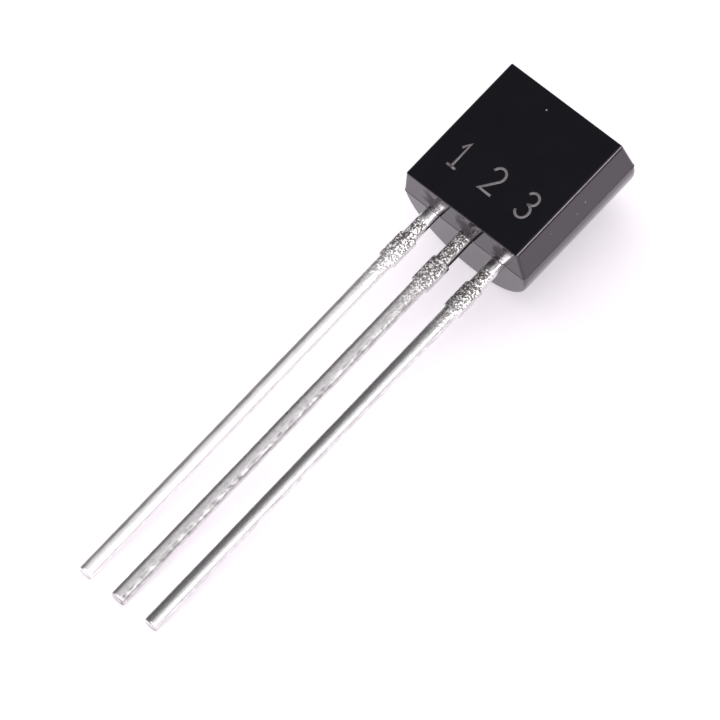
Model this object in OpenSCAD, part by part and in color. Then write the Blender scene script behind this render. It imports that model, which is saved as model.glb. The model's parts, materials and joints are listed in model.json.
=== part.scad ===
// Small three-lead transistor in a moulded package with one flat side (the 4.6 mm "D" outline).
// It lies at rest on the lower edge of its round back and on the tips of its leads.
//
// The shapes are drawn upright: X runs across the flat, Y back from the flat into the package and
// Z up the package, away from the leads. The lower edge of the flat is Z = 0.
// lying() then turns each finished piece into the rest position.

/* [Package] */
// Width across the round sides
body_w = 4.65; // [4.3:0.05:4.9]
// Height of the flat face
body_h = 4.48; // [4.3:0.02:4.8]
// Depth of the mould's parting plane behind the flat
parting_y = 1.12; // [1:0.02:1.3]
// Draft of the end faces, from the parting plane towards the flat
front_draft = 5.5; // [4:0.5:7]
// Draft of the end faces, from the parting plane towards the round back
back_draft = 0.5; // [0.5:0.5:4]
// Draft of the flat sides, from the parting plane towards the flat
side_draft = 9; // [6:0.5:12]
// Edge radius down both sides of the flat
flat_edge_r = 0.1; // [0.06:0.01:0.2]
// Edge radius along the upper and lower edge of the flat
flat_end_r = 0.06; // [0.03:0.01:0.12]
// Edge radius round both end faces
end_edge_r = 0.08; // [0.05:0.01:0.2]
// Height of the flash left along the parting line
flash_h = 0.008; // [0.006:0.001:0.04]
// Thickness of that flash
flash_t = 0.02; // [0.014:0.002:0.06]
// Diameter of the ejector-pin mark on the back
ejector_d = 1.3; // [0.8:0.1:1.6]
// Depth of the ejector-pin mark at its middle
ejector_depth = 0.12; // [0.1:0.01:0.25]

/* [Leads] */
// Lead width
lead_w = 0.46; // [0.38:0.01:0.55]
// Lead thickness
lead_t = 0.38; // [0.36:0.01:0.5]
// Free length of the leads
lead_l = 14.5; // [8:0.5:20]
// Lead pitch
pitch = 1.27; // [1.27:0.01:1.35]
// Radius of the tinned edges
lead_edge_r = 0.15; // [0.03:0.01:0.17]
// Distance from the package to the trimmed dam bar
dam_z = 0.98; // [0.6:0.02:1.5]
// Height of the trimmed dam bar
dam_h = 0.95; // [0.6:0.05:1.2]
// How far the trimmed dam bar stands out on each side of a lead
dam_out = 0.075; // [0.03:0.005:0.12]

/* [Inside the package] */
// Width of the stems, which lock the leads in the moulding
stem_w = 0.7; // [0.6:0.05:0.8]
// Height at which the leads widen to their stems
lock_z = 0.5; // [0.3:0.05:0.8]
// Gap between neighbouring stampings
stamp_gap = 0.25; // [0.2:0.01:0.35]
// Moulding left above the die pad
pad_cover = 0.65; // [0.5:0.05:0.8]
// Width of the die pad
pad_w = 2.1; // [1.9:0.05:2.2]
// Height of the die pad
pad_h = 1.6; // [1.3:0.05:1.8]
// Width of the base lead's bond post
base_post_w = 0.9; // [0.75:0.05:1]
// Height of the base lead's bond post
base_post_h = 0.6; // [0.4:0.05:0.7]
// Height of the emitter lead's bond post
emitter_post_h = 0.9; // [0.6:0.05:1.2]
// Side of the square silicon die
die_w = 0.45; // [0.4:0.05:0.6]
// Thickness of the die
die_t = 0.2; // [0.15:0.01:0.25]
// Width of the die-attach fillet round the die
attach_out = 0.05; // [0.02:0.01:0.08]
// Thickness of the die attach
attach_t = 0.03; // [0.02:0.01:0.05]
// Diameter of the bond wires
wire_d = 0.05; // [0.04:0.005:0.07]
// Radius of the bond wires' loops
loop_r = 0.76; // [0.74:0.01:0.9]
// Diameter of the ball bonds on the die
ball_d = 0.13; // [0.1:0.01:0.15]
// Height of the ball bonds
ball_h = 0.03; // [0.02:0.01:0.05]
// Distance of each ball bond from the middle of the die
bond_offset = 0.12; // [0.11:0.005:0.125]

/* [Hidden] */
$fn = 96;

// Package: the back half is a half circle about the parting plane, and flat sides lean in from there.
body_r = body_w / 2;
body_depth = parting_y + body_r;
mid_z = body_h / 2;
draft_drop = parting_y * tan(front_draft);
end_z = -draft_drop;
over = 1;

// Side edges of the flat: a circle tangent to the flat and to the flat side.
flat_edge_x = body_r - parting_y * tan(side_draft) - flat_edge_r * (1 / cos(side_draft) - tan(side_draft));
side_tangent = [flat_edge_x + flat_edge_r * cos(side_draft), flat_edge_r * (1 - sin(side_draft))];

// Upper and lower edge of the flat: facets along an arc tangent to the flat and to the drafted end face.
edge_facets = 4;
flat_end_z = flat_end_r * (1 / cos(front_draft) - tan(front_draft));
flat_end_turn = (90 - front_draft) / edge_facets;

// Edge between a flat side and an end face: it climbs from the parting plane to the flat, and its corner
// opens by the lean. It has facets along an arc tangent to both faces.
edge_climb = atan(tan(front_draft) * cos(side_draft));
edge_lean = asin(sin(front_draft) * sin(side_draft));
edge_turn = (90 - edge_lean) / edge_facets;

// Round end edges: each end face of the back half is the floor of a cup with a rounded rim and a wall
// that flares. The rim is set in a little and ends short of upright, so that the wall crosses the round
// side cleanly.
rim_end = back_draft + 1;
rim_flare = back_draft + 5;
rim_inset = end_edge_r / 15;
rim_r = body_r - rim_inset - end_edge_r * cos(rim_end);
rim_h = end_edge_r * (1 - sin(rim_end));
cup_h = body_h + 2 * over;

// Leads: the front faces of the stampings lie on the parting plane.
lead_back_y = parting_y + lead_t;
tip_z = end_z - lead_l;
dam_top_z = end_z - dam_z;
dam_bottom_z = dam_top_z - dam_h;

// Stampings inside the package
pad_top_z = body_h - pad_cover;
pad_bottom_z = pad_top_z - pad_h;
pad_left_x = -pitch - stem_w / 2;
pad_right_x = pad_left_x + pad_w;
base_post_top_z = pad_bottom_z - stamp_gap;
base_post_bottom_z = base_post_top_z - base_post_h;
emitter_post_left_x = pad_right_x + stamp_gap;
emitter_post_right_x = pitch + stem_w / 2;

// Die and bond wires
die_z = (pad_top_z + pad_bottom_z) / 2;
die_rise = attach_t + die_t;
base_ball = [0, die_z - bond_offset];
base_foot = [0, (base_post_top_z + base_post_bottom_z) / 2];
emitter_ball = [bond_offset, die_z];
emitter_foot = [(emitter_post_left_x + emitter_post_right_x) / 2, pad_bottom_z + emitter_post_h / 2];

// Rest: tilted so that the rounded lower edge of the back and the backs of the lead tips meet the ground.
edge_y = parting_y + rim_r * cos(back_draft) - end_edge_r * sin(back_draft);
edge_z = end_z + rim_r * sin(back_draft) + end_edge_r * cos(back_draft);
edge_run = [edge_y - lead_back_y, edge_z - tip_z];
rest_tilt = atan2(edge_run[0], edge_run[1]) + asin(end_edge_r / norm(edge_run));
rest_z = lead_back_y * cos(rest_tilt) - tip_z * sin(rest_tilt);
tip_end = tip_z * cos(rest_tilt) + parting_y * sin(rest_tilt);
edge_end = (body_h - edge_z) * cos(rest_tilt) + edge_y * sin(rest_tilt) + end_edge_r;
flash_end = (body_h + draft_drop + flash_h) * cos(rest_tilt) + (parting_y + flash_t / 2) * sin(rest_tilt);
rest_y = -(tip_end + max(edge_end, flash_end)) / 2;

// Turns an upright shape into the rest position, centred on the origin and standing on Z = 0.
module lying() {
    translate([0, rest_y, rest_z]) rotate([rest_tilt - 90, 0, 0]) children();
}

// Extrudes an outline drawn as [X, Z] backwards from y1 to y2.
module plate(y1, y2) {
    translate([0, y2, 0]) rotate([90, 0, 0]) linear_extrude(y2 - y1) children();
}

// Rectangle with rounded corners, centred.
module rounded_rectangle(w, h, r) {
    square([w, h - 2 * r], center = true);
    square([w - 2 * r, h], center = true);
    for (sx = [-1, 1], sy = [-1, 1])
        translate([sx * (w / 2 - r), sy * (h / 2 - r)]) circle(r);
}

// Outline of the front half seen from below, with rounded corners beside the flat.
module front_outline() {
    polygon([
        [-flat_edge_x, 0], [flat_edge_x, 0], side_tangent,
        [body_r, parting_y], [-body_r, parting_y], [-side_tangent[0], side_tangent[1]]
    ]);
    for (sx = [-1, 1]) translate([sx * flat_edge_x, flat_edge_r]) circle(flat_edge_r);
}

// Side view of the front half, as [Y, Z].
module front_profile() {
    function arc_point(i) = [0, flat_end_z]
        + flat_end_r * [1 - cos(i * flat_end_turn), -sin(i * flat_end_turn)];
    lower = concat([for (i = [0:edge_facets]) arc_point(i)],
        [[parting_y + over, end_z - over * tan(front_draft)]]);
    polygon(concat(lower, [for (i = [len(lower) - 1:-1:0]) [lower[i][0], body_h - lower[i][1]]]));
}

// Bar along the edge between the right side and the lower end face. It rounds the edge and leaves the rest:
// its first and last facet run on past the two faces, so that they cross them cleanly.
module edge_bar() {
    far = body_w + body_h;
    function arc_point(i) = end_edge_r * [
        cos(i * edge_turn) - 1,
        (1 - sin(edge_lean)) / cos(edge_lean) - sin(i * edge_turn)
    ];
    function run_on(from, through) = through + far * (through - from) / norm(through - from);
    arc = [for (i = [0:edge_facets]) arc_point(i)];
    translate([body_r, parting_y, end_z]) rotate([-edge_climb, 0, -side_draft]) plate(-far, over)
        polygon(concat(
            [run_on(arc[1], arc[0])], arc, [run_on(arc[edge_facets - 1], arc[edge_facets])], [[-far, far]]
        ));
}

// Half of the moulding between the flat and the parting plane.
module front_half() {
    intersection() {
        translate([0, 0, -over]) linear_extrude(body_h + 2 * over) front_outline();
        rotate([90, 0, 90]) linear_extrude(body_w + over, center = true) front_profile();
        intersection_for (left = [0, 1], upper = [0, 1])
            translate([0, 0, upper * body_h]) mirror([0, 0, upper]) mirror([left, 0, 0]) edge_bar();
    }
}

// Cup that leaves one drafted end face with its rounded rim; its floor is Z = 0.
module end_cup() {
    wall_x = rim_r + end_edge_r * cos(rim_end);
    rotate_extrude() intersection() {
        union() {
            square([rim_r, cup_h]);
            translate([rim_r, end_edge_r]) circle(end_edge_r);
            polygon([
                [0, end_edge_r], [rim_r, end_edge_r], [wall_x, rim_h],
                [wall_x + (cup_h - rim_h) * tan(rim_flare), cup_h], [0, cup_h]
            ]);
        }
        square([body_r + cup_h, cup_h]);
    }
}

// Half of the moulding behind the parting plane.
module back_half() {
    intersection() {
        translate([0, parting_y, -over]) cylinder(h = body_h + 2 * over, r = body_r);
        translate([-body_r - over, parting_y, -over]) cube([body_w + 2 * over, body_r + over, body_h + 2 * over]);
        intersection_for (upper = [0, 1])
            translate([0, parting_y, upper * body_h]) mirror([0, 0, upper])
                translate([0, 0, end_z]) rotate([back_draft, 0, 0]) end_cup();
    }
}

// Thin flash all round the parting line.
module flash() {
    plate(parting_y - flash_t / 2, parting_y + flash_t / 2)
        translate([0, mid_z]) rounded_rectangle(
            body_w + 2 * flash_h, body_h + 2 * (draft_drop + flash_h), end_edge_r + flash_h);
}

// Shallow flat-bottomed mark that the ejector pin leaves in the round back.
module ejector_mark() {
    translate([0, body_depth - ejector_depth, mid_z]) rotate([-90, 0, 0]) cylinder(h = over, d = ejector_d);
}

// Everything that the moulding encloses.
module moulded_in() {
    collector_shape();
    base_shape();
    emitter_shape();
    attach_shape();
    die_shape();
    wire_shape(base_ball, base_foot);
    wire_shape(emitter_ball, emitter_foot);
}

module body() {
    color([0.09, 0.09, 0.1]) lying() difference() {
        union() {
            front_half();
            back_half();
            flash();
        }
        ejector_mark();
        moulded_in();
    }
}

// Free part of a lead, with the trimmed dam bar, up to where it widens inside the package.
module lead_bar(x) {
    translate([x, parting_y + lead_t / 2, 0]) {
        translate([0, 0, tip_z]) linear_extrude(lock_z - tip_z)
            rounded_rectangle(lead_w, lead_t, lead_edge_r);
        translate([0, 0, dam_bottom_z]) linear_extrude(dam_h)
            rounded_rectangle(lead_w + 2 * dam_out, lead_t, lead_edge_r);
    }
}

// Stem of a lead inside the package, as an outline.
module stem(x, top_z) {
    translate([x - stem_w / 2, lock_z]) square([stem_w, top_z - lock_z]);
}

module collector_shape() {
    lead_bar(-pitch);
    plate(parting_y, lead_back_y) {
        stem(-pitch, pad_bottom_z);
        translate([pad_left_x, pad_bottom_z]) square([pad_w, pad_h]);
    }
}

module base_shape() {
    lead_bar(0);
    plate(parting_y, lead_back_y) {
        stem(0, base_post_bottom_z);
        translate([-base_post_w / 2, base_post_bottom_z]) square([base_post_w, base_post_h]);
    }
}

module emitter_shape() {
    lead_bar(pitch);
    plate(parting_y, lead_back_y) {
        stem(pitch, pad_bottom_z);
        translate([emitter_post_left_x, pad_bottom_z])
            square([emitter_post_right_x - emitter_post_left_x, emitter_post_h]);
    }
}

module attach_shape() {
    attach_w = die_w + 2 * attach_out;
    plate(parting_y - attach_t, parting_y)
        translate([-attach_w / 2, die_z - attach_w / 2]) square(attach_w);
}

module die_shape() {
    plate(parting_y - die_rise, parting_y - attach_t)
        translate([-die_w / 2, die_z - die_w / 2]) square(die_w);
}

// Bond wire from a ball bond on the die to a foot on a post, both given as [X, Z]: part of a ring
// through both ends, cut off at the faces that it is bonded to.
module wire_shape(ball, foot) {
    run = norm(foot - ball);
    chord = norm([run, die_rise]);
    drop = sqrt(loop_r * loop_r - chord * chord / 4);
    centre = [run, die_rise] / 2 - [die_rise, run] * drop / chord;
    far = 2 * loop_r + over;
    translate([ball[0], parting_y, ball[1]])
        rotate([0, atan2(ball[1] - foot[1], foot[0] - ball[0]), 0]) rotate([180, 0, 0]) {
            difference() {
                translate([centre[0], centre[1], 0]) rotate_extrude() translate([loop_r, 0]) circle(d = wire_d, $fn = 24);
                translate([-far, -far, -over]) cube([far + run / 2, far + die_rise, 2 * over]);
                translate([-far, -far, -over]) cube([2 * far + run, far, 2 * over]);
            }
            translate([0, die_rise, 0]) rotate([-90, 0, 0]) cylinder(h = ball_h, d = ball_d, $fn = 32);
        }
}

module collector_lead() { color([0.78, 0.78, 0.8]) lying() collector_shape(); }
module base_lead() { color([0.78, 0.78, 0.8]) lying() base_shape(); }
module emitter_lead() { color([0.78, 0.78, 0.8]) lying() emitter_shape(); }
module die_attach() { color([0.6, 0.6, 0.62]) lying() attach_shape(); }
module die() { color([0.3, 0.32, 0.38]) lying() die_shape(); }
module base_wire() { color([0.85, 0.65, 0.25]) lying() wire_shape(base_ball, base_foot); }
module emitter_wire() { color([0.85, 0.65, 0.25]) lying() wire_shape(emitter_ball, emitter_foot); }

body();
collector_lead();
base_lead();
emitter_lead();
die_attach();
die();
base_wire();
emitter_wire();
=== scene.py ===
"""A small three-lead transistor in a moulded package, lying on a pale table under soft studio light.

The moulding is the CAD body with its own material. Each lead is replaced by a finer piece, whose free part
has the crowned, slightly uneven surface of tinned metal. Lengths are in metres. Places on the part are given
in the package's own axes and turned into the CAD's row frame.
"""

import json
import math
from typing import NamedTuple

import bmesh
import bpy
import numpy as np
from mathutils import Matrix, Vector, noise


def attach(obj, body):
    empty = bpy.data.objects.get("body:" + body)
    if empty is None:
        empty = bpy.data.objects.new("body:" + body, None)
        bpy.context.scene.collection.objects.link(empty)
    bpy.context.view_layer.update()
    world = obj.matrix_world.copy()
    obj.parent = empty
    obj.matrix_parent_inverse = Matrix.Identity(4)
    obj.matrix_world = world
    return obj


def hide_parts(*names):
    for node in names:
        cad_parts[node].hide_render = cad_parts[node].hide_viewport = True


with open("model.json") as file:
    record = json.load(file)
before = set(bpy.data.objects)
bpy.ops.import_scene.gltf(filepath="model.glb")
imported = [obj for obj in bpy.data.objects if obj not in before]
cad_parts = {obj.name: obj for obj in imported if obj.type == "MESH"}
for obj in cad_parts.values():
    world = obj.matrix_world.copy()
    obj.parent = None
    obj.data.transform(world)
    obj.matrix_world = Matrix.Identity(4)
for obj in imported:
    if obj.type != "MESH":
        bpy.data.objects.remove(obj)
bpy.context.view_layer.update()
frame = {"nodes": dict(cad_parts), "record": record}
MM = 0.001


def axes_matrix(x, y, z, origin):
    """The matrix that turns an object's axes to x, y and z and moves its origin."""
    rows = [(x[i], y[i], z[i], origin[i]) for i in range(3)]
    return Matrix((*rows, (0, 0, 0, 1)))


# ------------------------------------------------------------------ package frame

# The package's own axes: X across the flat, Y back from the flat into the package, Z up the package,
# away from the leads. Its origin is the middle of the flat.
MOUNTS = {m["name"]: m for m in frame["record"]["mounts"]}
FLAT = Vector(MOUNTS["marking_flat"]["pos_m"])
X_AXIS = Vector((1, 0, 0))
Y_AXIS = -Vector(MOUNTS["marking_flat"]["axis"])
Z_AXIS = X_AXIS.cross(Y_AXIS)
PACKAGE = axes_matrix(X_AXIS, Y_AXIS, Z_AXIS, FLAT)
EXIT = (PACKAGE.inverted() @ Vector(MOUNTS["leads"]["pos_m"])).z  # where the leads leave the package

LEADS_LEFT_TO_RIGHT = ("collector_lead", "base_lead", "emitter_lead")
TIP_SAMPLE = 0.1 * MM  # the stretch above a lead's tip that its width is read from
SIDE_TOLERANCE, FLAT_TOLERANCE = 0.001 * MM, 0.002 * MM  # a vertex this near counts as on the surface
WIDTH_TOLERANCE = 0.01 * MM  # a lead counts as wider than at its tip where it is so by more than this


def in_package(node):
    """The vertices of a CAD node in the package's axes, one row each."""
    inverse = PACKAGE.inverted()
    return np.array([inverse @ v.co for v in frame["nodes"][node].data.vertices])


def to_row_frame(points):
    """Points given in the package's axes, as an array in the row frame."""
    m = np.array(PACKAGE)
    return np.asarray(points) @ m[:3, :3].T + m[:3, 3]


def at_tip(lead):
    """Those of a lead's vertices that lie beside its tip."""
    return lead[lead[:, 2] < lead[:, 2].min() + TIP_SAMPLE]


def lead_middle_x(node):
    """Where the middle of a lead's free part lies across the package."""
    tip = at_tip(in_package(node))
    return (tip[:, 0].min() + tip[:, 0].max()) / 2


BODY = in_package("body")
HALF_WIDTH = BODY[:, 0].max()
PARTING_Y = BODY[BODY[:, 0] > HALF_WIDTH - SIDE_TOLERANCE, 1].mean()  # where the mould halves met
FLAT_BOTTOM = BODY[BODY[:, 1] < FLAT_TOLERANCE, 2].min()
SIDE_DRAFT = math.radians(9)  # of the sides of the front half


def on_right_side(y, z):
    """The point of the package's right side that lies y behind the flat and z above its middle."""
    return Vector((HALF_WIDTH - (PARTING_Y - y) * math.tan(SIDE_DRAFT), y, z))


# ------------------------------------------------------------------ node calls


class Nodes:
    """Short calls for the nodes and links of one material or world."""

    def __init__(self, owner):
        owner.use_nodes = True
        self.tree = owner.node_tree
        self.tree.nodes.clear()

    def add(self, kind, settings=None, **inputs):
        """A new node with its own settings, and its sockets set or linked by name."""
        n = self.tree.nodes.new(kind)
        for key, value in (settings or {}).items():
            setattr(n, key, value)
        for key, value in inputs.items():
            self.put(n, key, value)
        return n

    def put(self, n, key, value):
        """Links an output to a socket of node n, or sets the socket to a plain value."""
        socket = n.inputs[key]
        if isinstance(value, bpy.types.NodeSocket):
            self.tree.links.new(value, socket)
        else:
            socket.default_value = value

    def math(self, operation, a, b=0.0, clamp=False):
        """a and b put together by one of Blender's math operations."""
        n = self.add("ShaderNodeMath", {"operation": operation, "use_clamp": clamp})
        self.put(n, 0, a)
        self.put(n, 1, b)
        return n.outputs[0]

    def remap(self, value, low, high, to_low=0.0, to_high=1.0):
        """value from low..high to to_low..to_high, smoothly and held at both ends."""
        n = self.add("ShaderNodeMapRange", {"interpolation_type": "SMOOTHSTEP"})
        self.put(n, "Value", value)
        self.put(n, "From Min", low)
        self.put(n, "From Max", high)
        self.put(n, "To Min", to_low)
        self.put(n, "To Max", to_high)
        return n.outputs["Result"]

    def mix_colours(self, factor, a, b):
        """Colour a where the factor is 0, colour b where it is 1."""
        n = self.add("ShaderNodeMix", {"data_type": "RGBA"})
        self.put(n, 0, factor)
        self.put(n, 6, a)
        self.put(n, 7, b)
        return n.outputs[2]

    def distance(self, a, b):
        """The distance between two points."""
        n = self.add("ShaderNodeVectorMath", {"operation": "DISTANCE"})
        self.put(n, 0, a)
        self.put(n, 1, b)
        return n.outputs["Value"]

    def noise(self, vector, size, detail=2.0, roughness=0.5):
        """Noise of about that grain size, in metres, from 0 to 1."""
        n = self.add("ShaderNodeTexNoise", Vector=vector, Scale=1 / size, Detail=detail, Roughness=roughness)
        return n.outputs["Fac"]

    def attribute(self, name):
        """A number that the mesh holds for each vertex."""
        return self.add("ShaderNodeAttribute", {"attribute_name": name}).outputs["Fac"]

    def package_coordinates(self, stretch=(1, 1, 1)):
        """Object coordinates turned into the package's axes, and divided by the stretch along each."""
        n = self.add("ShaderNodeMapping", {"vector_type": "TEXTURE"})
        self.put(n, "Vector", self.add("ShaderNodeTexCoord").outputs["Object"])
        self.put(n, "Location", FLAT)
        self.put(n, "Rotation", PACKAGE.to_euler())
        self.put(n, "Scale", stretch)
        return n.outputs["Vector"]

    def seen(self):
        """1 for a ray from the camera, or one reflected or let through on its way; 0 for a diffuse ray."""
        path = self.add("ShaderNodeLightPath").outputs
        shiny = self.math("MAXIMUM", path["Is Glossy Ray"], path["Is Transmission Ray"])
        return self.math("MAXIMUM", path["Is Camera Ray"], shiny)

    def bump(self, height, distance, strength=1.0):
        """The normal over a relief that is that deep where the height goes from 0 to 1."""
        n = self.add("ShaderNodeBump", Strength=strength, Distance=distance, Height=height)
        return n.outputs["Normal"]

    def output(self, shader, kind="ShaderNodeOutputMaterial"):
        """Sends the shader to the material's or the world's surface."""
        self.put(self.add(kind), "Surface", shader)


# ------------------------------------------------------------------ material of the moulding

EPOXY_LOW, EPOXY_HIGH = (0.0018, 0.0031, 0.0044, 1), (0.0032, 0.0045, 0.0060, 1)
DUST_COLOUR = (0.36, 0.34, 0.33, 1)
# The dark brown beside each lead's root is a painted reflection of the lead.
PAINTED_REFLECTION_COLOUR = (0.010, 0.0065, 0.0045, 1)
# The flash is matt grey, and its lighter colour is also painted light over the dark shading of its ridge.
FLASH_AND_PAINTED_LIGHT_COLOUR = (0.09, 0.08, 0.085, 1)
MATT_ROUGHNESS = 0.5  # of dust, of the painted dark reflections beside the leads' roots and of the flash, above that of the epoxy

# Grains of dust, each with its radius: one on the flat, and three on the right side.
DUST = (
    (Vector((-0.34, 0, 1.73)) * MM, 0.028 * MM),
    (on_right_side(0.58 * MM, 0.43 * MM), 0.034 * MM),
    (on_right_side(0.70 * MM, 0.04 * MM), 0.026 * MM),
    (on_right_side(0.42 * MM, -0.98 * MM), 0.020 * MM),
)

# A painted dark reflection of each lead on the lower end face, beside its root: how far its middle lies to
# the right of the lead's and behind the flat, and its half sizes in mm along X, Y and Z.
PAINTED_REFLECTION_SHIFT, PAINTED_REFLECTION_DEPTH = 0.04 * MM, 0.56 * MM
PAINTED_REFLECTION_HALVES = (0.33, 0.56, 0.30)
# It fades out from the first to the second of these, counted in half sizes, once noise of up to the third is
# added.
PAINTED_REFLECTION_CORE, PAINTED_REFLECTION_RIM, PAINTED_REFLECTION_RAGGED = 1.3, 2.1, 2.0

# How far on either side of the parting line the broken flash shows, with a lighter grey that is partly
# painted light over its ridge's dark shading, and where it has faded out.
FLASH_HALF, FLASH_END = 0.012 * MM, 0.014 * MM


def dust_mask(n, at):
    """1 on a grain of dust, 0 away from it."""
    mask = 0.0
    for place, radius in DUST:
        grain = n.remap(n.distance(at, place), 0.6 * radius, 1.2 * radius, 1.0, 0.0)
        mask = n.math("MAXIMUM", mask, grain)
    return mask


def painted_reflection_mask(n, at):
    """1 where the painted dark reflection beside a lead's root is full, 0 where there is none."""
    stretched = n.package_coordinates(PAINTED_REFLECTION_HALVES)
    ragged = n.math("MULTIPLY", n.noise(at, 0.24 * MM, 3, 0.6), PAINTED_REFLECTION_RAGGED * MM)
    mask = 0.0
    for lead in LEADS_LEFT_TO_RIGHT:
        middle = (lead_middle_x(lead) + PAINTED_REFLECTION_SHIFT, PAINTED_REFLECTION_DEPTH, EXIT)
        middle = Vector(p / half for p, half in zip(middle, PAINTED_REFLECTION_HALVES))
        off = n.math("ADD", n.distance(stretched, middle), ragged)
        mask = n.math("MAXIMUM", mask, n.remap(off, PAINTED_REFLECTION_CORE * MM, PAINTED_REFLECTION_RIM * MM, 1.0, 0.0))
    return mask


def flash_and_painted_light_mask(n, at):
    """1 on the broken edge of the flash, which is painted lighter over its dark shading, 0 away from it."""
    y = n.add("ShaderNodeSeparateXYZ", Vector=at).outputs["Y"]
    off_parting = n.math("ABSOLUTE", n.math("SUBTRACT", y, PARTING_Y))
    return n.remap(off_parting, FLASH_HALF, FLASH_END, 1.0, 0.0)


def moulding_material():
    """Black filled epoxy: fairly glossy, with the faint grain of the mould.

    Dust, the painted dark reflections beside the leads' roots and the broken edge of the flash are matt. The
    flash's lighter grey is also painted light over its ridge's dark shading.
    """
    m = bpy.data.materials.new("epoxy_moulding")
    n = Nodes(m)
    at = n.package_coordinates()
    grain = n.noise(at, 0.06 * MM, 3)
    clouds = n.noise(at, 1.1 * MM, 2)
    base = n.mix_colours(clouds, EPOXY_LOW, EPOXY_HIGH)
    matt = 0.0
    # Dust is real; the dark patches by the leads are a painted reflection, and the flash's grey is partly
    # painted light.
    for mask_of, colour in ((dust_mask, DUST_COLOUR), (painted_reflection_mask, PAINTED_REFLECTION_COLOUR), (flash_and_painted_light_mask, FLASH_AND_PAINTED_LIGHT_COLOUR)):
        mask = mask_of(n, at)
        base = n.mix_colours(mask, base, colour)
        matt = n.math("MAXIMUM", matt, mask)
    glossy = n.remap(clouds, 0.3, 0.7, 0.10, 0.13)
    b = n.add("ShaderNodeBsdfPrincipled", IOR=1.62)
    n.put(b, "Base Color", base)
    n.put(b, "Roughness", n.math("ADD", glossy, n.math("MULTIPLY", matt, MATT_ROUGHNESS)))
    n.put(b, "Specular Tint", (1.0, 0.86, 1.0, 1))
    n.put(b, "Normal", n.bump(grain, 0.0006 * MM, 0.5))
    n.output(b.outputs[0])
    return m


# ------------------------------------------------------------------ materials of the other pieces

# What each vertex of a lead holds: how rough the deflashing left it, from 0 to 1, or below 0 where it is
# rubbed bright; and how dark it is made, from 0 to 1, by black residue and by painted shade.
ROUGH_ATTRIBUTE, RESIDUE_AND_SHADE_ATTRIBUTE = "rough", "residue_and_shade"

SPECK_SIZE, SPECK_HEIGHT = 0.055 * MM, 0.028 * MM  # of the specks that stand out of the rough stretch
STAIN_COLOUR, STAIN_SHARE = (0.075, 0.062, 0.060, 1), 0.93  # on those specks
# Black residue on the leads, also used for their painted shade.
RESIDUE_AND_SHADE_COLOUR = (0.022, 0.020, 0.022, 1)
ROUGH_ADDS, RESIDUE_AND_SHADE_ADDS = 0.20, 0.6  # to the tin's own roughness


def tin_material(name, dark, bright, roughness):
    """Tin plating: bright, with soft streaks along the lead, and rough and stained next to the package."""
    m = bpy.data.materials.new(name)
    n = Nodes(m)
    rough = n.attribute(ROUGH_ATTRIBUTE)
    residue_and_shade = n.attribute(RESIDUE_AND_SHADE_ATTRIBUTE)
    streaks = n.noise(n.package_coordinates((1, 1, 10)), 0.05 * MM, 3)
    blotches = n.noise(n.package_coordinates((1, 1, 2)), 0.14 * MM, 3, 0.6)
    specks = n.noise(n.package_coordinates(), SPECK_SIZE, 3, 0.6)
    colour = n.mix_colours(n.remap(blotches, 0.35, 0.65), (*dark, 1), (*bright, 1))
    stains = n.math("MULTIPLY", n.remap(specks, 0.43, 0.52), n.math("MULTIPLY", rough, STAIN_SHARE))
    colour = n.mix_colours(stains, colour, STAIN_COLOUR)
    # Residue and painted shade darken the tin.
    colour = n.mix_colours(residue_and_shade, colour, RESIDUE_AND_SHADE_COLOUR)
    worn = n.remap(blotches, 0.3, 0.7, roughness * 1.2, roughness * 0.8)
    worn = n.math("ADD", worn, n.math("MULTIPLY", rough, ROUGH_ADDS))
    worn = n.math("ADD", worn, n.math("MULTIPLY", residue_and_shade, RESIDUE_AND_SHADE_ADDS), clamp=True)
    relief = n.remap(rough, 0.0, 1.0, 0.10, 1.0)
    streaked = n.bump(streaks, 0.002 * MM, 0.5)
    specked = n.add("ShaderNodeBump", Strength=relief, Distance=SPECK_HEIGHT, Height=specks, Normal=streaked)
    b = n.add("ShaderNodeBsdfPrincipled", Metallic=1.0)
    n.put(b, "Base Color", colour)
    n.put(b, "Roughness", worn)
    n.put(b, "Normal", specked.outputs["Normal"])
    n.output(b.outputs[0])
    return m


def plain_material(name, low, high, grain, roughness, metallic):
    """A material whose colour and roughness vary a little with a noise of that grain size."""
    m = bpy.data.materials.new(name)
    n = Nodes(m)
    f = n.noise(n.package_coordinates(), grain, 3)
    b = n.add("ShaderNodeBsdfPrincipled", Metallic=metallic)
    n.put(b, "Base Color", n.mix_colours(f, (*low, 1), (*high, 1)))
    n.put(b, "Roughness", n.remap(f, 0.3, 0.7, roughness * 0.85, roughness * 1.15))
    n.put(b, "Normal", n.bump(f, grain * 0.02, 0.4))
    n.output(b.outputs[0])
    return m


def marking_material():
    """Laser marking: a matt, mottled grey."""
    m = bpy.data.materials.new("laser_marking")
    n = Nodes(m)
    mottle = n.noise(n.package_coordinates(), 0.05 * MM, 3, 0.6)
    grey = n.mix_colours(n.remap(mottle, 0.35, 0.65), (0.13, 0.112, 0.122, 1), (0.22, 0.195, 0.207, 1))
    b = n.add("ShaderNodeBsdfPrincipled", IOR=1.5)
    n.put(b, "Base Color", grey)
    n.put(b, "Roughness", n.remap(mottle, 0.3, 0.7, 0.55, 0.75))
    n.put(b, "Normal", n.bump(mottle, 0.001 * MM, 0.5))
    n.output(b.outputs[0])
    return m


BRIGHT_TIN = tin_material("tin_plating", (0.66, 0.64, 0.65), (0.88, 0.87, 0.87), roughness=0.24)
SATIN_TIN = tin_material("tin_plating_satin", (0.80, 0.77, 0.79), (0.95, 0.94, 0.94), roughness=0.36)
DULL_TIN = tin_material("tin_plating_dull", (0.52, 0.50, 0.51), (0.78, 0.76, 0.77), roughness=0.32)

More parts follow.
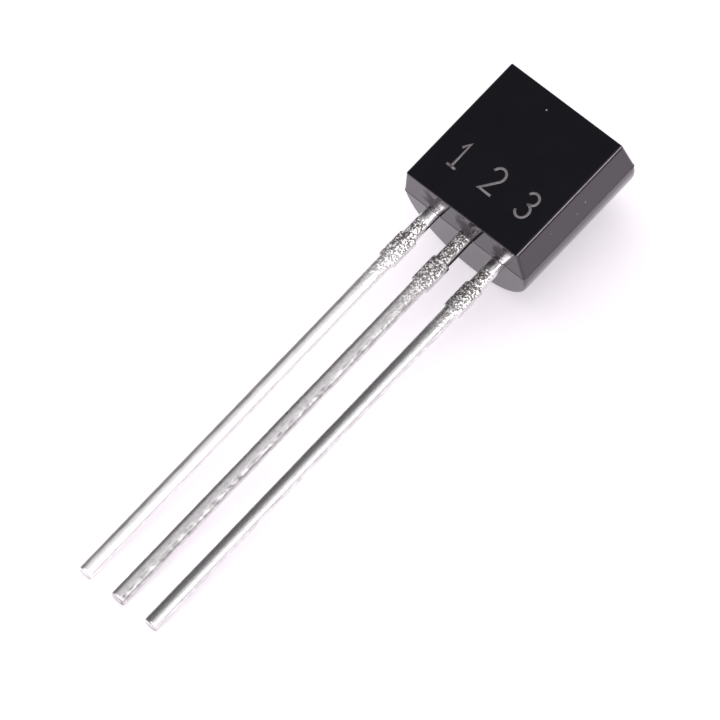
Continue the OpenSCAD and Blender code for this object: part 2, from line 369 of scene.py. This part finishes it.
# The CAD nodes' materials, by the record's material slots.
MATERIALS = {
    "moulding": moulding_material(),
    "tinned_lead": BRIGHT_TIN,
    "die_attach": plain_material("silver_adhesive", (0.50, 0.50, 0.52), (0.66, 0.66, 0.68),
                                 grain=0.02 * MM, roughness=0.45, metallic=1.0),
    "silicon": plain_material("silicon_die", (0.18, 0.20, 0.27), (0.24, 0.26, 0.33),
                              grain=0.08 * MM, roughness=0.12, metallic=0.6),
    "bond_wire": plain_material("gold_wire", (0.80, 0.58, 0.22), (0.90, 0.68, 0.28),
                                grain=0.02 * MM, roughness=0.2, metallic=1.0),
}

for subpart in frame["record"]["subparts"]:
    for material_slot in frame["nodes"][subpart["node"]].material_slots:
        material_slot.material = MATERIALS[subpart["material_slot"]]


def piece_from(bm, name, material):
    """A shown piece from a bmesh in the row frame, which rides on the body and has its finish from slot."""
    mesh = bpy.data.meshes.new(name)
    bm.normal_update()
    bm.to_mesh(mesh)
    bm.free()
    mesh.materials.append(material)
    mesh.shade_smooth()
    made = bpy.data.objects.new(name, mesh)
    bpy.context.scene.collection.objects.link(made)
    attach(made, "root")
    return made


def join_rings(bm, low, high):
    """The faces between two rings of as many vertices."""
    for i in range(len(low)):
        j = (i + 1) % len(low)
        bm.faces.new((low[i], low[j], high[j], high[i]))


# ------------------------------------------------------------------ leads

BASE_LEAD = in_package("base_lead")
LEAD_FRONT, LEAD_BACK = BASE_LEAD[:, 1].min(), BASE_LEAD[:, 1].max()
MIDDLE_Y, HALF_Y = (LEAD_FRONT + LEAD_BACK) / 2, (LEAD_BACK - LEAD_FRONT) / 2
TIP = BASE_LEAD[:, 2].min()
HALF_X = at_tip(BASE_LEAD)[:, 0].max()
IN_DAM = BASE_LEAD[(BASE_LEAD[:, 2] < EXIT) & (BASE_LEAD[:, 0] > HALF_X + WIDTH_TOLERANCE)]
DAM_HALF_X = IN_DAM[:, 0].max()
DAM_BOTTOM, DAM_TOP = IN_DAM[:, 2].min(), IN_DAM[:, 2].max()
DAM_FILLET = 0.05 * MM

SECTION_POINTS = 56
FINE_STEP, COARSE_STEP = 0.03 * MM, 0.08 * MM  # between rings, next to the package and away from it
ROOT_INSIDE = 0.3 * MM  # how far the free part runs on inside the moulding
STAMPING_START = EXIT + 0.6 * ROOT_INSIDE  # inside the free part's end, so that the two overlap
MERGE_DISTANCE = 1e-7

TIP_EDGE = 0.04 * MM  # rounding of the sheared tip
TIP_RINGS = (0.0, 0.3, 1.0, 2.2)  # how far from the cut end the first rings lie, in lengths of TIP_EDGE
CUT_RIM, CUT_CORE = 0.84, 0.72  # of the cut end's half size: the dull rim's inner edge, and the bright core
TWIST_LENGTH = 2.5 * MM  # from the package to where a lead has its full twist

ROUGH_LENGTH = 4.2 * MM  # the stretch next to the package that the deflashing left rough
ROUGH_RISE = 1.3  # above 1, so that the part of it closest to the package is fully rough
SHEARED_SMOOTHER = 0.8  # how much less rough the sheared sides are than the faces
ROUGH_DEPTH, WAVY_DEPTH = 0.007 * MM, 0.003 * MM
POLISH = 0.6  # how far below 0 the roughness goes at a root that is rubbed bright

LOWER_EDGE_DARKENING, CUT_GRIME = 0.45, 0.85  # darkening along a lead's lower right edge, and grime round the lower half of its cut end
SHADE_LINE_FADE = 0.25 * MM  # over which the painted shade line beside the package fades out at its far end


class Lead(NamedTuple):
    """What sets one lead apart."""

    node: str
    material: bpy.types.Material
    section_power: float  # of the superellipse that is its section: 2 is round, and more is squarer
    twist_deg: float
    film: float  # how much residue dulls its right half
    seed: int
    shade_line_length: float = 0.0  # of the black line of painted shade that runs down its right side from the package
    clean_root: float = 0.0  # the stretch next to the package that is rubbed bright


def smooth(x):
    """x held between 0 and 1, and eased at both ends."""
    x = min(max(x, 0.0), 1.0)
    return x * x * (3 - 2 * x)


def section(t, power):
    """Unit section of a lead at the parameter t: a superellipse, which has crowned faces, as (x, y)."""
    c, s = math.cos(t), math.sin(t)
    return math.copysign(abs(c) ** (2 / power), c), math.copysign(abs(s) ** (2 / power), s)


def reach(twist, power):
    """How far a turned section of that power reaches behind its middle."""
    q = power / (power - 1)
    return ((HALF_X * abs(math.sin(twist))) ** q + (HALF_Y * math.cos(twist)) ** q) ** (1 / q)


def ring_heights():
    """Where the rings of a lead lie, from the tip up to inside the moulding."""
    heights = [TIP + TIP_EDGE * k for k in TIP_RINGS]
    while heights[-1] < EXIT - ROUGH_LENGTH:
        heights.append(heights[-1] + COARSE_STEP)
    while heights[-1] < EXIT + ROOT_INSIDE:
        heights.append(heights[-1] + FINE_STEP)
    return heights


def dam_share(z):
    """1 beside the trimmed dam bar, 0 away from it."""
    return smooth((z - DAM_BOTTOM) / DAM_FILLET + 0.5) * smooth((DAM_TOP - z) / DAM_FILLET + 0.5)


def polish_share(lead, z):
    """1 where the lead's root is rubbed bright, 0 away from it."""
    return 1 - smooth(2 * (EXIT - z) / lead.clean_root - 1) if lead.clean_root else 0.0


def rough_share(lead, z):
    """1 where the lead's faces are rough, next to the package, and 0 away from there."""
    near_package = smooth((z - (EXIT - ROUGH_LENGTH)) / ROUGH_LENGTH * ROUGH_RISE)
    return near_package * (1 - polish_share(lead, z))


def tip_share(z):
    """0 at the cut end, 1 where its rounding is over."""
    return min((z - TIP) / TIP_EDGE, 1.0)


def residue_and_shade_at(lead, sx, sy, z, fine):
    """How much residue and painted shade lie at the point (sx, sy) of the unit section at height z."""
    right_half = smooth((sx - 0.2) / 0.3) * smooth((0.99 - sx) / 0.05)
    film = lead.film * (1 - 0.8 * rough_share(lead, z)) * right_half * (0.9 + 0.4 * fine)
    # Darker along the lower right edge.
    edge = LOWER_EDGE_DARKENING * smooth((min(sx, sy) - 0.5) / 0.15)
    cut = CUT_GRIME * (1 - tip_share(z)) * smooth(sy / 0.3)
    # The black line down the right side, next to the package, is painted shade.
    line = 0.0
    if lead.shade_line_length:
        line = smooth((sx - 0.97) / 0.02) * smooth((z - EXIT + lead.shade_line_length) / SHADE_LINE_FADE)
    return max(film, edge, cut, line)


def add_ring(bm, lead, middle_x, z):
    """One ring of vertices round the lead's free part, with their roughness, residue and painted shade."""
    rough_layer = bm.verts.layers.float[ROUGH_ATTRIBUTE]
    residue_and_shade_layer = bm.verts.layers.float[RESIDUE_AND_SHADE_ATTRIBUTE]
    offset = Vector((lead.seed * 3.7, lead.seed * 1.9, lead.seed * 5.3))
    inset = TIP_EDGE * (1 - math.sqrt(1 - (1 - tip_share(z)) ** 2))
    widening = (DAM_HALF_X - HALF_X) * dam_share(z)
    twist = math.radians(lead.twist_deg) * smooth((EXIT - z) / TWIST_LENGTH)
    raised = reach(twist, lead.section_power) - HALF_Y
    ring = []
    for i in range(SECTION_POINTS):
        sx, sy = section(2 * math.pi * (i + 0.5) / SECTION_POINTS, lead.section_power)
        x, y = sx * HALF_X, sy * HALF_Y
        x += math.copysign(widening, x) * smooth(abs(sx) * 2 - 0.8)
        at = Vector((x, y, z)) / MM + offset
        sheared = smooth((abs(sx) - 0.85) / 0.12)
        rough = rough_share(lead, z) * (1 - SHEARED_SMOOTHER * sheared) - POLISH * polish_share(lead, z)
        fine = noise.noise(at * 9) + 0.6 * noise.noise(at * 21)
        wavy = noise.noise(Vector((at.x * 2, at.y * 2, at.z * 0.8)))
        sink = inset + ROUGH_DEPTH * max(rough, 0) * (0.5 + 0.5 * fine) + WAVY_DEPTH * (0.5 + 0.5 * wavy)
        shrink = 1 - sink / HALF_Y
        x, y = x * shrink, y * shrink
        turned_x = x * math.cos(twist) - y * math.sin(twist)
        turned_y = x * math.sin(twist) + y * math.cos(twist)
        vertex = bm.verts.new(to_row_frame((middle_x + turned_x, MIDDLE_Y + turned_y - raised, z)))
        vertex[rough_layer] = rough
        vertex[residue_and_shade_layer] = residue_and_shade_at(lead, sx, sy, z, fine)
        ring.append(vertex)
    return ring


def close_end(bm, ring):
    """A flat end across a ring: a rim with the ring's own residue, and a bright core."""
    residue_and_shade_layer = bm.verts.layers.float[RESIDUE_AND_SHADE_ATTRIBUTE]
    hub = sum((v.co for v in ring), Vector()) / len(ring)
    rim = [bm.verts.new(hub + (v.co - hub) * CUT_RIM) for v in ring]
    core = [bm.verts.new(hub + (v.co - hub) * CUT_CORE) for v in ring]
    centre = bm.verts.new(hub)
    for outer, inner in zip(ring, rim):
        inner[residue_and_shade_layer] = outer[residue_and_shade_layer]
    join_rings(bm, ring, rim)
    join_rings(bm, rim, core)
    for i in range(len(core)):
        bm.faces.new((core[i], core[(i + 1) % len(core)], centre))


def add_stamping(bm, node):
    """Adds what the CAD's own stamping has inside the package."""
    stamping = bmesh.new()
    stamping.from_mesh(frame["nodes"][node].data)
    bmesh.ops.remove_doubles(stamping, verts=stamping.verts, dist=MERGE_DISTANCE)
    cut = to_row_frame((0, 0, STAMPING_START))
    geometry = stamping.verts[:] + stamping.edges[:] + stamping.faces[:]
    bmesh.ops.bisect_plane(stamping, geom=geometry, plane_co=cut, plane_no=Z_AXIS, clear_inner=True)
    bmesh.ops.holes_fill(stamping, edges=[e for e in stamping.edges if e.is_boundary])
    inside = bpy.data.meshes.new(node + "_inside")
    stamping.to_mesh(inside)
    stamping.free()
    bm.from_mesh(inside)
    bpy.data.meshes.remove(inside)


def make_lead(lead):
    """The lead's free part as a fine mesh, joined by the CAD's own stamping inside the package."""
    bm = bmesh.new()
    bm.verts.layers.float.new(ROUGH_ATTRIBUTE)
    bm.verts.layers.float.new(RESIDUE_AND_SHADE_ATTRIBUTE)
    middle_x = lead_middle_x(lead.node)
    rings = [add_ring(bm, lead, middle_x, z) for z in ring_heights()]
    for low, high in zip(rings, rings[1:]):
        join_rings(bm, low, high)
    close_end(bm, rings[0])
    close_end(bm, rings[-1])
    add_stamping(bm, lead.node)
    bmesh.ops.recalc_face_normals(bm, faces=bm.faces)
    made = piece_from(bm, lead.node + "_tinned", lead.material)
    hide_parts(lead.node)


make_lead(Lead("collector_lead", SATIN_TIN, section_power=2.6, twist_deg=6, film=0.3, seed=1,
               shade_line_length=0.7 * MM, clean_root=0.45 * MM))
make_lead(Lead("base_lead", DULL_TIN, section_power=3.4, twist_deg=7, film=0.6, seed=2,
               shade_line_length=1.25 * MM))
make_lead(Lead("emitter_lead", BRIGHT_TIN, section_power=2.6, twist_deg=0, film=0.25, seed=3,
               clean_root=0.45 * MM))


# ------------------------------------------------------------------ marking

# Plain numbers burnt into the flat by a laser, one above each lead.
DIGIT_WIDTH, DIGIT_HEIGHT = 0.50 * MM, 0.95 * MM
DIGIT_FOOT = 0.86 * MM  # above the lower edge of the flat
STROKE = 0.08 * MM
MARK_PROUD, MARK_DEEP = 0.002 * MM, 0.010 * MM
ARC_STEP = math.radians(10)


def arc(centre, radii, start_deg, end_deg):
    """Points along an elliptical arc, from one angle to the other."""
    start, end = math.radians(start_deg), math.radians(end_deg)
    steps = math.ceil(abs(end - start) / ARC_STEP)
    angles = [start + (end - start) * k / steps for k in range(steps + 1)]
    return [(centre[0] + radii[0] * math.cos(a), centre[1] + radii[1] * math.sin(a)) for a in angles]


def digit_strokes(digit):
    """Centre lines of a 1, 2 or 3 of the digits' size, standing on y = 0 and centred on x = 0."""
    w, h = DIGIT_WIDTH / 2 - STROKE / 2, DIGIT_HEIGHT - STROKE
    upper, lower = (w, 0.27 * h), (w, 0.23 * h)
    if digit == 1:
        return [[(-0.6 * w, 0.78 * h), (0, h), (0, 0)], [(-0.6 * w, 0), (0.6 * w, 0)]]
    if digit == 2:
        bowl = arc((0, h - upper[1]), upper, 160, -40)
        return [bowl + [(-w, 0), (w, 0)]]
    top = arc((0, h - lower[1]), (0.92 * w, lower[1]), 150, -90)
    return [top, arc((0, upper[1]), upper, 90, -150)]


def ribbon(bm, line, x0, z0):
    """A thin closed strip along a centre line on the flat, standing a little proud of it."""
    line = [Vector(p) for p in line]
    rings = []
    for i, p in enumerate(line):
        first, last = i == 0, i + 1 == len(line)
        before = (line[1] - p).normalized() if first else (p - line[i - 1]).normalized()
        after = before if last else (line[i + 1] - p).normalized()
        along = (before + after).normalized()
        side = Vector((-along.y, along.x)) * (STROKE / 2 / max(along.dot(before), 0.5))
        p = p - along * (STROKE / 2 if first else 0) + along * (STROKE / 2 if last else 0)
        corners = ((side, -MARK_PROUD), (-side, -MARK_PROUD), (-side, MARK_DEEP), (side, MARK_DEEP))
        places = [(x0 + p.x + across.x, y, z0 + p.y + across.y) for across, y in corners]
        rings.append([bm.verts.new(place) for place in to_row_frame(places)])
    for low, high in zip(rings, rings[1:]):
        join_rings(bm, low, high)
    bm.faces.new(rings[0])
    bm.faces.new(rings[-1][::-1])


def make_pin_numbers():
    """1, 2 and 3 on the flat, from left to right, in one piece."""
    bm = bmesh.new()
    for digit, node in enumerate(LEADS_LEFT_TO_RIGHT, start=1):
        for stroke in digit_strokes(digit):
            ribbon(bm, stroke, lead_middle_x(node), FLAT_BOTTOM + DIGIT_FOOT + STROKE / 2)
    bmesh.ops.recalc_face_normals(bm, faces=bm.faces)
    piece_from(bm, "pin_numbers", marking_material())


make_pin_numbers()


# ------------------------------------------------------------------ table

# A pale sheet. To the camera, and in reflections, nearly half of its brightness is a glow of its own. The
# rest is the light that falls on it, so it keeps the transistor's faint shadow.
TABLE_HALF, TABLE_CELLS = 0.6, 24
TABLE_GLOW, TABLE_DIFFUSE = 0.52, 0.72
TABLE_TINT = (1.0, 0.95, 1.0)
PAPER_GRAIN, PAPER_VARIATION = 3 * MM, 1.02


def table_material():
    """Pale paper, with a glow that only the camera and reflections see."""
    m = bpy.data.materials.new("pale_table")
    n = Nodes(m)
    paper = n.noise(n.add("ShaderNodeTexCoord").outputs["Object"], PAPER_GRAIN, 3)
    low, high = ([TABLE_DIFFUSE * share * c for c in TABLE_TINT] + [1] for share in (1.0, PAPER_VARIATION))
    diffuse = n.add("ShaderNodeBsdfDiffuse", Color=n.mix_colours(paper, low, high))
    glow = n.add("ShaderNodeEmission", Color=(*TABLE_TINT, 1))
    n.put(glow, "Strength", n.math("MULTIPLY", n.seen(), TABLE_GLOW))
    both = n.add("ShaderNodeAddShader")
    n.put(both, 0, diffuse.outputs[0])
    n.put(both, 1, glow.outputs[0])
    n.output(both.outputs[0])
    return m


def make_table():
    """The table, level with the lowest points of the part."""
    bm = bmesh.new()
    bmesh.ops.create_grid(bm, x_segments=TABLE_CELLS, y_segments=TABLE_CELLS, size=TABLE_HALF)
    mesh = bpy.data.meshes.new("table")
    bm.to_mesh(mesh)
    bm.free()
    mesh.materials.append(table_material())
    table = bpy.data.objects.new("table", mesh)
    bpy.context.scene.collection.objects.link(table)


make_table()


# ------------------------------------------------------------------ light

# To the camera and in reflections the room is white at the horizon and below it. Above, it is dark on the
# left and pale everywhere else. The light that it gives is even.
ROOM_LIGHT = (0.60, 0.60, 0.60, 1)
OVERHEAD_DARK, WHITE = (0.13, 0.13, 0.135, 1), (1, 1, 1, 1)
OVERHEAD_PALE = 0.78  # from dark to white
DARK_TO, PALE_FROM = -0.36, -0.20  # of the direction's X
WHITE_TO, WHITE_END = 0.04, 0.10  # of the direction's Z

LAMP_DISTANCE = 0.5


def make_room():
    """The world."""
    world = bpy.data.worlds.new("studio")
    bpy.context.scene.world = world
    n = Nodes(world)
    generated = n.add("ShaderNodeTexCoord").outputs["Generated"]
    direction = n.add("ShaderNodeSeparateXYZ", Vector=generated).outputs
    right = n.remap(direction["X"], DARK_TO, PALE_FROM, 0.0, OVERHEAD_PALE)
    low = n.remap(direction["Z"], WHITE_TO, WHITE_END, 1.0, 0.0)
    room = n.mix_colours(n.math("MAXIMUM", right, low), OVERHEAD_DARK, WHITE)
    sky = n.add("ShaderNodeBackground", Strength=1.0)
    n.put(sky, "Color", n.mix_colours(n.seen(), ROOM_LIGHT, room))
    n.output(sky.outputs[0], "ShaderNodeOutputWorld")


def soft_box(name, direction, half_angles, radiance):
    """A rectangular lamp seen in that direction, with its half sizes as angles across and along the leads."""
    data = bpy.data.lights.new(name, "AREA")
    data.shape = "RECTANGLE"
    data.size, data.size_y = (2 * LAMP_DISTANCE * math.tan(math.radians(a)) for a in half_angles)
    data.energy = radiance * math.pi * data.size * data.size_y
    direction = Vector(direction).normalized()
    y = (Z_AXIS - Z_AXIS.dot(direction) * direction).normalized()
    lamp = bpy.data.objects.new(name, data)
    lamp.matrix_world = axes_matrix(y.cross(direction), y, direction, direction * LAMP_DISTANCE)
    bpy.context.scene.collection.objects.link(lamp)
    return lamp


make_room()

# One lamp overhead lights everything and isn't reflected. The other two are only reflected: a long one on the
# right, which puts the highlights on the leads, and a wide one on the side of the lead tips, which brightens
# the rough stretch and the leads' roots.
overhead = soft_box("overhead", direction=(-0.15, 0.10, 1.0), half_angles=(28, 28), radiance=1.2)
overhead.visible_glossy = False
key = soft_box("key", direction=(0.61, -0.26, 0.75), half_angles=(8, 27), radiance=13.0)
key.visible_diffuse = False
front = soft_box("front", direction=(0.49, -0.51, 0.70), half_angles=(45, 8), radiance=10.0)
front.visible_diffuse = False


# ------------------------------------------------------------------ camera

# The camera looks down past the leads from the right, and is rolled a little.
AZIMUTH, ELEVATION, ROLL = math.radians(47.76), math.radians(57.78), math.radians(-5.31)
CAMERA_DISTANCE = 0.300
PIXELS_PER_MM, FRAME_PIXELS, SENSOR = 35.53, 720, 36.0
AIM = Vector((0, 0, 1.8 * MM))
AIM_RIGHT, AIM_UP = 0.27 * MM, -0.2745 * MM  # from there to the middle of the picture, as it is seen
CLIP_START, CLIP_END = 0.01, 10


def make_camera():
    """The camera, with the lens that gives the scale at the aim."""
    outward = math.cos(ELEVATION)
    back = Vector((outward * math.sin(AZIMUTH), -outward * math.cos(AZIMUTH), math.sin(ELEVATION)))
    level = (-back).cross(Vector((0, 0, 1))).normalized()
    upward = level.cross(-back)
    image_right = math.cos(ROLL) * level + math.sin(ROLL) * upward
    image_up = -math.sin(ROLL) * level + math.cos(ROLL) * upward
    place = AIM + AIM_RIGHT * image_right + AIM_UP * image_up + back * CAMERA_DISTANCE
    data = bpy.data.cameras.new("camera")
    data.sensor_width = SENSOR
    data.lens = PIXELS_PER_MM / MM * CAMERA_DISTANCE / FRAME_PIXELS * SENSOR
    data.clip_start, data.clip_end = CLIP_START, CLIP_END
    camera = bpy.data.objects.new("camera", data)
    camera.matrix_world = axes_matrix(image_right, image_up, back, place)
    bpy.context.scene.collection.objects.link(camera)
    bpy.context.scene.camera = camera


make_camera()
bpy.context.scene.view_settings.view_transform = "Standard"
